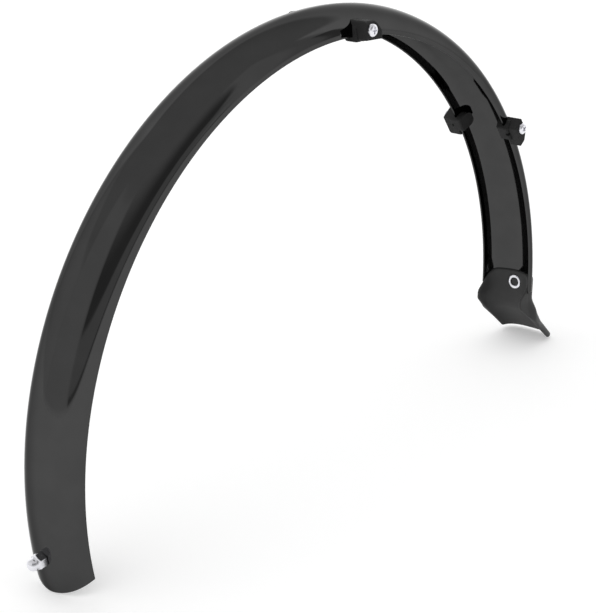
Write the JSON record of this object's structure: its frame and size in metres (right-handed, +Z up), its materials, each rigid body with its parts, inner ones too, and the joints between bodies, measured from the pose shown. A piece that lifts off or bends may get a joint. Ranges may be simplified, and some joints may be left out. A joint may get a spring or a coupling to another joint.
{
  "type": "kick scooter rear mudguard",
  "caption": "Glossy black full-length rear mudguard arch with a deep rounded channel section, edge clips for wire stays, a front fixing bolt and a riveted flared mud flap.",
  "frame": {"origin": "the centre of the wheel that the mudguard covers", "axes": "+X to the rear, +Y along the wheel's axle, +Z up"},
  "size_m": [0.579, 0.0736, 0.3247],
  "materials": {
    "guard_plastic": "smooth injection-moulded black plastic with a high gloss",
    "flap_plastic": "flexible black plastic, softer satin gloss",
    "clip_plastic": "black nylon with a fine satin grain",
    "bright_metal": "bright plated steel",
    "zinc_steel": "zinc-plated steel"
  },
  "bodies": {
    "root": {"guard_shell": "guard_plastic", "mud_flap": "flap_plastic", "flap_rivet": "bright_metal", "front_bolt": "bright_metal", "front_washer": "bright_metal", "front_cap_nut": "bright_metal", "clip_top_near": "clip_plastic", "clip_top_far": "clip_plastic", "clip_rear_near": "clip_plastic", "clip_rear_far": "clip_plastic", "screw_top_near": "bright_metal", "screw_top_far": "bright_metal", "screw_rear_near": "bright_metal", "screw_rear_far": "bright_metal", "nut_top_near": "zinc_steel", "nut_top_far": "zinc_steel", "nut_rear_near": "zinc_steel", "nut_rear_far": "zinc_steel"}
  },
  "joints": []
}
